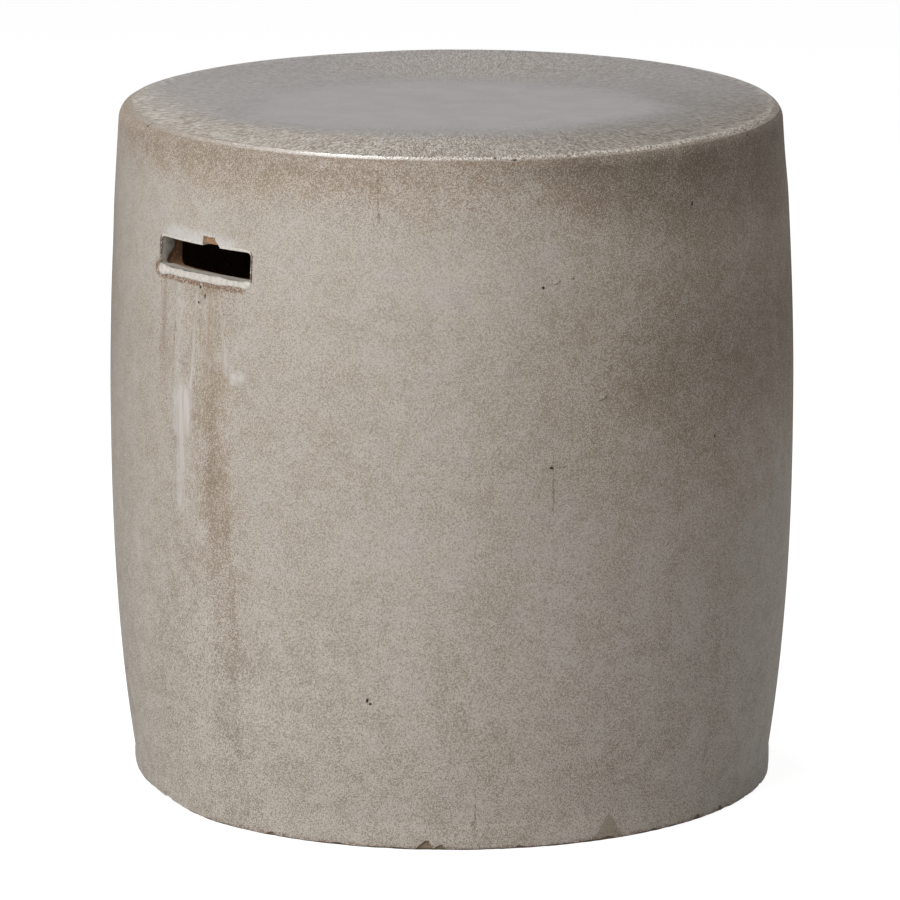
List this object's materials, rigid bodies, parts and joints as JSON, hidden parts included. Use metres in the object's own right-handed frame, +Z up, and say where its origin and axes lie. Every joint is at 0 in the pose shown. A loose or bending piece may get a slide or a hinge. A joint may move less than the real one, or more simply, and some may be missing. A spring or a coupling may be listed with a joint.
{
  "type": "ceramic garden stool",
  "caption": "Round barrel-shaped glazed clay stool, open underneath, with a flat seat and hand slots through opposite sides of the wall.",
  "frame": {"origin": "centre of the standing face, on the floor", "axes": "+Z up along the drum's axis; X through the middle of the two hand slots; Y the other way across"},
  "size_m": [0.4586, 0.4586, 0.457],
  "materials": {
    "bare_clay": "unglazed fired clay, brown",
    "dried_slip": "fired slip, brown",
    "mottled_glaze": "glossy mottled grey-beige glaze",
    "white_glaze": "glossy off-white glaze, thick and rolled"
  },
  "bodies": {
    "root": {"foot_ring": "bare_clay", "foot_slip": "dried_slip", "drum_wall": "bare_clay", "seat_slip": "dried_slip", "seat_slab": "bare_clay", "corner_coil": "bare_clay", "wall_glaze": "mottled_glaze", "seat_glaze": "mottled_glaze", "slot_glaze_left": "white_glaze", "slot_glaze_right": "white_glaze"}
  },
  "joints": []
}
